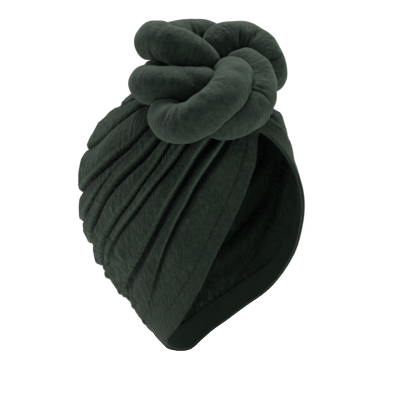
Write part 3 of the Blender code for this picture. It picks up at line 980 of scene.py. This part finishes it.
class Nodes:
    """Short calls that add a shader node, set its values and link what feeds it."""

    def __init__(self, name):
        self.material = bpy.data.materials.new(name)
        self.material.use_nodes = True
        self.tree = self.material.node_tree
        self.shader = self.tree.nodes["Principled BSDF"]

    def add(self, kind, values=(), **settings):
        node = self.tree.nodes.new(kind)
        for key, value in settings.items():
            setattr(node, key, value)
        for socket, value in dict(values).items():
            if isinstance(value, bpy.types.NodeSocket):
                self.tree.links.new(value, node.inputs[socket])
            else:
                node.inputs[socket].default_value = value
        return node

    def math(self, operation, first, second=0.0):
        return self.add("ShaderNodeMath", {0: first, 1: second}, operation=operation).outputs[0]

    def uv(self, scale):
        place = self.add("ShaderNodeUVMap", uv_map="cloth").outputs[0]
        return self.add("ShaderNodeMapping", {"Vector": place, "Scale": scale}).outputs[0]

    def object_place(self):
        return self.add("ShaderNodeTexCoord").outputs["Object"]

    def noise(self, place, scale, detail=3.0, roughness=0.5):
        values = {"Vector": place, "Scale": scale, "Detail": detail, "Roughness": roughness}
        return self.add("ShaderNodeTexNoise", values).outputs["Fac"]

    def fact(self, name):
        return self.add("ShaderNodeAttribute", attribute_name=name).outputs["Fac"]

    def span(self, value, low, high, to_low=0.0, to_high=1.0):
        values = {"Value": value, "From Min": low, "From Max": high}
        values.update({"To Min": to_low, "To Max": to_high})
        return self.add("ShaderNodeMapRange", values).outputs["Result"]

    def bump(self, height, distance, strength=1.0, before=None):
        values = {"Height": height, "Distance": distance, "Strength": strength}
        if before is not None:
            values["Normal"] = before
        return self.add("ShaderNodeBump", values).outputs["Normal"]

    def mix(self, share, low, high):
        node = self.add("ShaderNodeMix", data_type="RGBA")
        for socket, value in (("Factor_Float", share), ("A_Color", low), ("B_Color", high)):
            target = next(item for item in node.inputs if item.identifier == socket)
            if isinstance(value, bpy.types.NodeSocket):
                self.tree.links.new(value, target)
            else:
                target.default_value = value
        return next(item for item in node.outputs if item.identifier == "Result_Color")

    def finish(self, colour, normal, roughness, sheen, sheen_roughness, tint):
        self.tree.links.new(colour, self.shader.inputs["Base Color"])
        self.tree.links.new(normal, self.shader.inputs["Normal"])
        self.shader.inputs["Roughness"].default_value = roughness
        self.shader.inputs["Specular IOR Level"].default_value = CLOTH_SPECULAR
        self.shader.inputs["Sheen Weight"].default_value = sheen
        self.shader.inputs["Sheen Roughness"].default_value = sheen_roughness
        self.shader.inputs["Sheen Tint"].default_value = tint
        return self.material


def textured_jersey():
    """Crinkled stretch jersey with small raised scales, painted highlight on the folds' edges,
    painted shade in the valleys and painted light low at the back.
    """
    nodes = Nodes("textured_jersey")
    cloth = nodes.uv((1.0, 1.0, 1.0))
    scales = nodes.add(
        "ShaderNodeTexVoronoi",
        {"Vector": nodes.uv((210.0, 150.0, 1.0)), "Scale": 1.0, "Randomness": 0.9},
        feature="F1",
    ).outputs["Distance"]
    scattered = nodes.span(nodes.noise(cloth, 70.0, 1.0), 0.40, 0.58)
    mark = nodes.math("MULTIPLY", nodes.span(scales, 0.55, 0.25), scattered)
    crimps = nodes.span(nodes.noise(nodes.uv((430.0, 90.0, 1.0)), 1.0, 3.0, 0.6), 0.32, 0.68)
    grain = nodes.span(nodes.noise(cloth, 520.0, 3.0, 0.7), 0.32, 0.68)
    cloudy = nodes.noise(nodes.object_place(), 22.0, 2.0)
    slack = nodes.fact("slack")
    normal = nodes.bump(grain, 0.0005, 0.9)
    normal = nodes.bump(crimps, 0.0010, 1.0, normal)
    normal = nodes.bump(mark, 0.0007, 0.9, normal)
    plain = nodes.mix(cloudy, CAP_DARK, CAP_LIGHT)
    # Painted light: lighter colour low at the back, where the cloth is slack
    plain = nodes.mix(nodes.math("MULTIPLY", slack, 0.4), plain, CAP_LOW_BACK_LIGHT)
    fuzzy = nodes.mix(nodes.math("MULTIPLY", grain, 0.6), plain, CAP_FUZZ)
    # The scale marks, painted lighter low at the back where light from below falls
    scales_and_low_light = nodes.math("MULTIPLY", mark, nodes.span(slack, 0.0, 1.0, 0.25, 0.65))
    marked = nodes.mix(scales_and_low_light, fuzzy, CAP_SCALES)
    # Painted highlight on the folds' edges
    edge_highlight_share = nodes.math("MULTIPLY", nodes.fact("edge_highlight"), nodes.span(grain, 0.0, 1.0, 0.35, 0.85))
    with_edge_highlight = nodes.mix(edge_highlight_share, marked, CAP_EDGE_HIGHLIGHT)
    shaded = nodes.mix(nodes.fact("shade"), with_edge_highlight, CAP_SHADE)
    return nodes.finish(shaded, normal, 0.9, 0.02, 0.35, CAP_SHEEN)


def hem_jersey():
    """The same jersey on the turned side of the hem, seen from inside, without scales."""
    nodes = Nodes("hem_jersey")
    cloth = nodes.uv((1.0, 1.0, 1.0))
    knit = nodes.noise(cloth, 1500.0, 1.0)
    crinkle = nodes.noise(nodes.uv((300.0, 120.0, 1.0)), 1.0, 3.0)
    normal = nodes.bump(crinkle, 0.0004, 0.5, nodes.bump(knit, 0.0001, 0.5))
    cloudy = nodes.noise(nodes.object_place(), 25.0, 2.0)
    colour = nodes.mix(cloudy, HEM_DARK, HEM_LIGHT)
    return nodes.finish(colour, normal, 0.9, 0.02, 0.35, HEM_SHEEN)


def stitch_thread():
    """Dark green thread with a little gloss and a twist along it."""
    nodes = Nodes("stitch_thread")
    twist = nodes.noise(nodes.object_place(), 2500.0, 1.0)
    colour = nodes.mix(twist, THREAD_DARK, THREAD_LIGHT)
    normal = nodes.bump(twist, 0.0001, 0.6)
    return nodes.finish(colour, normal, 0.7, 0.01, 0.4, THREAD_SHEEN)


def brushed_jersey():
    """Smooth brushed jersey with a short nap, fibres that run across and soft mottling."""
    nodes = Nodes("brushed_jersey")
    cloth = nodes.uv((1.0, 1.0, 1.0))
    nap = nodes.span(nodes.noise(cloth, 480.0, 4.0, 0.7), 0.34, 0.66)
    fibres = nodes.span(nodes.noise(nodes.uv((520.0, 130.0, 1.0)), 1.0, 3.0, 0.6), 0.34, 0.66)
    cloudy = nodes.span(nodes.noise(nodes.object_place(), 60.0, 5.0, 0.65), 0.34, 0.66)
    normal = nodes.bump(nap, 0.0004, 0.8)
    normal = nodes.bump(fibres, 0.0006, 0.8, normal)
    plain = nodes.mix(cloudy, KNOT_DARK, KNOT_LIGHT)
    brushed = nodes.mix(nodes.math("MULTIPLY", nap, 0.45), plain, KNOT_NAP)
    lit = nodes.math("MULTIPLY", fibres, 0.35)
    colour = nodes.mix(lit, brushed, KNOT_FIBRES)
    return nodes.finish(colour, normal, 0.85, 0.05, 0.3, KNOT_SHEEN)


def pale(name, level):
    material = bpy.data.materials.new(name)
    material.use_nodes = True
    shader = material.node_tree.nodes["Principled BSDF"]
    shader.inputs["Base Color"].default_value = (level, level, level, 1.0)
    shader.inputs["Roughness"].default_value = 0.9
    return material


def make_floor():
    lowest = cad_box[0][2] - FLOOR_DROP
    half = 0.5 * FLOOR_SIZE
    corners = [(-half, -half, lowest), (half, -half, lowest), (half, half, lowest)]
    corners.append((-half, half, lowest))
    mesh = bpy.data.meshes.new("floor")
    mesh.from_pydata(corners, [], [(0, 1, 2, 3)])
    mesh.materials.append(pale("pale_floor", FLOOR_LEVEL))
    floor = bpy.data.objects.new("floor", mesh)
    bpy.context.scene.collection.objects.link(floor)


def view_axes():
    """Unit vectors of the photograph: to the right, up and back towards the camera."""
    azimuth, elevation, roll = np.radians([CAMERA_AZIMUTH, CAMERA_ELEVATION, CAMERA_ROLL])
    level = np.cos(elevation)
    back = np.array([-np.sin(azimuth) * level, -np.cos(azimuth) * level, np.sin(elevation)])
    right = np.array([np.cos(azimuth), -np.sin(azimuth), 0.0])
    up = np.cross(back, right)
    turned = np.cos(roll) * right - np.sin(roll) * up
    return turned, np.sin(roll) * right + np.cos(roll) * up, back


def place_axes(item, right, up, back, spot):
    rows = [[right[n], up[n], back[n], spot[n]] for n in range(3)]
    item.matrix_world = Matrix(rows + [[0.0, 0.0, 0.0, 1.0]])


def make_camera():
    right, up, back = view_axes()
    spot = HEAD_MIDDLE + back * CAMERA_DISTANCE
    middle = 0.5 * PHOTO_SIZE
    aim = HEAD_MIDDLE + right * (middle - HEAD_MIDDLE_PIXEL[0]) / PIXELS_PER_METRE
    aim = aim - up * (middle - HEAD_MIDDLE_PIXEL[1]) / PIXELS_PER_METRE
    back = unit(spot - aim)
    right = unit(right - back * (right @ back))
    up = np.cross(back, right)
    data = bpy.data.cameras.new("camera")
    data.sensor_width = SENSOR_WIDTH
    data.lens = PIXELS_PER_METRE * CAMERA_DISTANCE / PHOTO_SIZE * SENSOR_WIDTH
    camera = bpy.data.objects.new("camera", data)
    bpy.context.scene.collection.objects.link(camera)
    place_axes(camera, right, up, back, spot)
    bpy.context.scene.camera = camera


def make_lights():
    right, up, back = view_axes()
    for name, light in LIGHTS.items():
        data = bpy.data.lights.new(name, "AREA")
        data.shape = "DISK"
        data.size = light.width
        data.energy = light.power
        item = bpy.data.objects.new(name, data)
        bpy.context.scene.collection.objects.link(item)
        away = right * light.right + up * light.up + back * light.back
        facing = unit(away)
        side = unit(np.cross([0.0, 0.0, 1.0], facing))
        place_axes(item, side, np.cross(facing, side), facing, HEAD_MIDDLE + away)


def make_world():
    world = bpy.data.worlds.new("studio")
    world.use_nodes = True
    background = world.node_tree.nodes["Background"]
    background.inputs["Color"].default_value = (1.0, 1.0, 1.0, 1.0)
    background.inputs["Strength"].default_value = WORLD_STRENGTH
    bpy.context.scene.world = world
    bpy.context.scene.view_settings.view_transform = "Standard"


def write_sizes():
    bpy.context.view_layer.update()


def main():
    make_camera()
    make_lights()
    make_world()
    make_floor()
    cap = make_cap(textured_jersey())
    hem = make_hem(hem_jersey())
    stitches = make_stitches(stitch_thread())
    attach(cap, "root")
    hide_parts("cap_body")
    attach(hem, "root")
    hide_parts("rim_hem")
    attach(stitches, "root")
    for strand, node in make_strands(brushed_jersey()):
        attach(strand, "root")
        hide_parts(node)
    write_sizes()


main()
